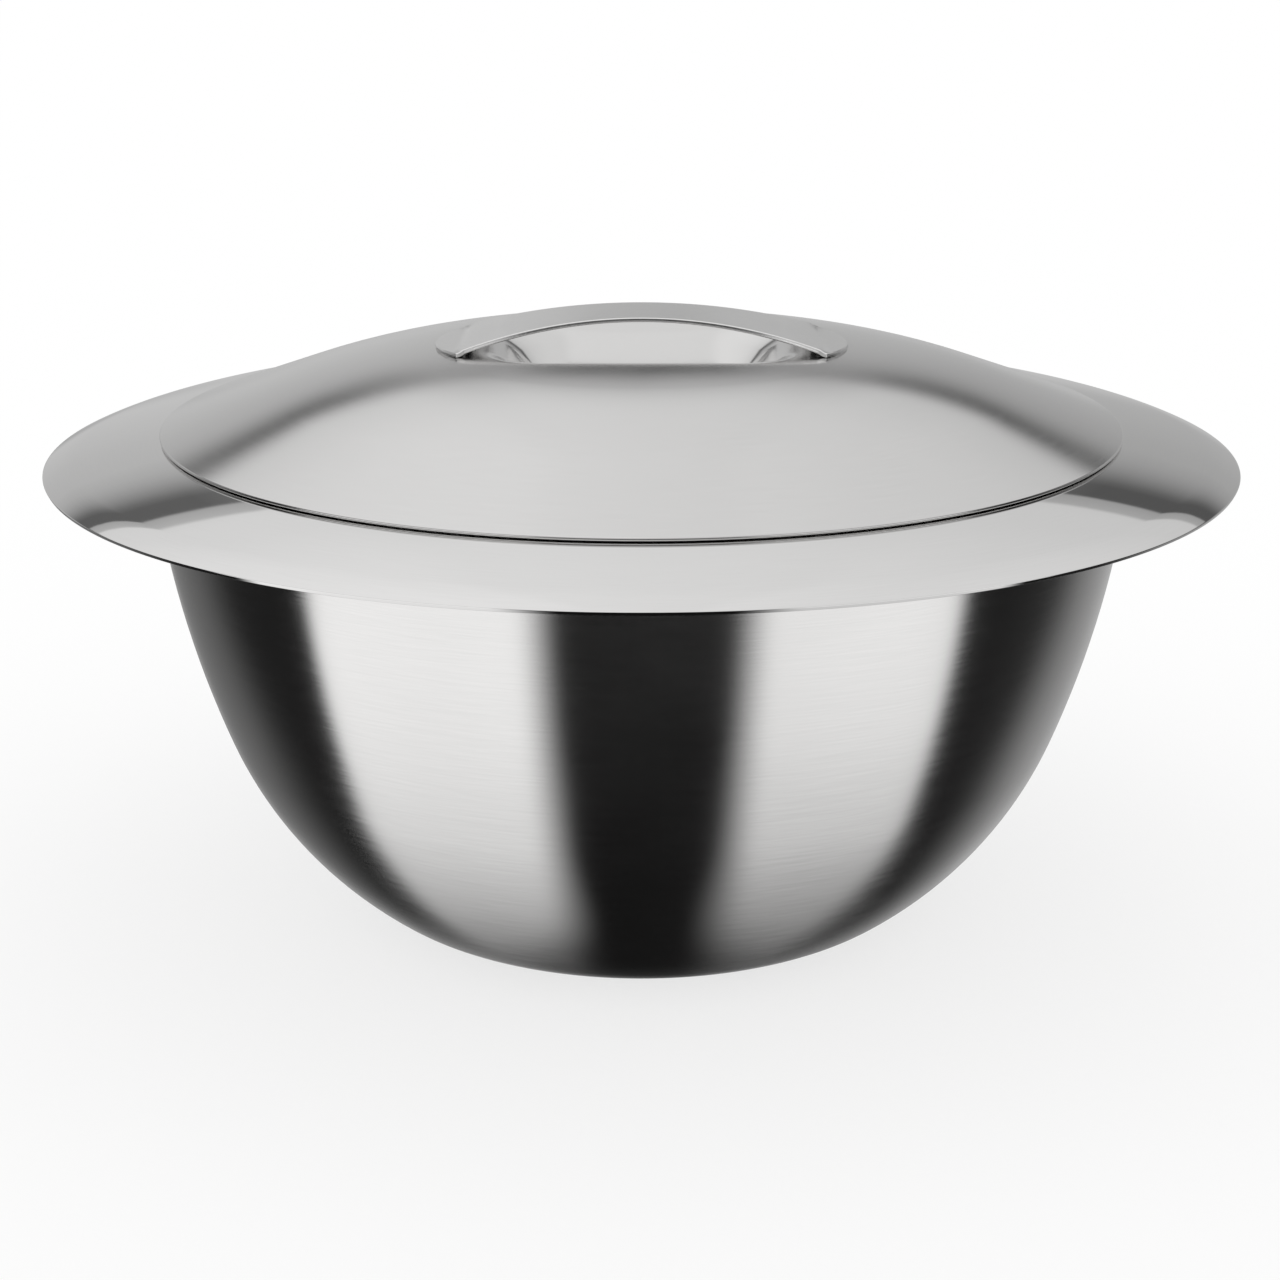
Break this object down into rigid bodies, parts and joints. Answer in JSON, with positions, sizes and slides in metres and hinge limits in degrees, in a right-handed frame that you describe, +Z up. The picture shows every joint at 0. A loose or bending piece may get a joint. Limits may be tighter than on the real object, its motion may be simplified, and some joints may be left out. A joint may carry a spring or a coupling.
{
  "type": "insulated bowl with lid",
  "caption": "Double-walled insulated steel serving bowl with a wide sloping brim and a domed lift-off lid that has a finger recess pressed into its crown under an arched strap handle.",
  "frame": {"origin": "middle of the foot, on the surface that the bowl stands on", "axes": "+Z up along the axis of the bowl and lid, +X along the strap handle"},
  "size_m": [0.32, 0.32, 0.1664],
  "materials": {
    "brushed_steel": "satin",
    "polished_steel": "polished",
    "soft_polished_steel": "gloss",
    "satin_steel": "satin",
    "foam": "matte",
    "plug_rubber": "matte"
  },
  "bodies": {
    "bowl": {"bowl_outer_shell": "brushed_steel", "bowl_inner_shell": "polished_steel", "bowl_insulation": "foam", "fill_plug": "plug_rubber", "base_disc": "brushed_steel"},
    "lid": {"lid_outer_shell": "soft_polished_steel", "lid_inner_pan": "satin_steel", "lid_insulation": "foam", "handle_strap": "satin_steel"}
  },
  "joints": [
    {"name": "lid_lift", "type": "slide", "parent": "bowl", "child": "lid", "axis": [0, 0, 1], "range_m": [0, 0.2]}
  ]
}
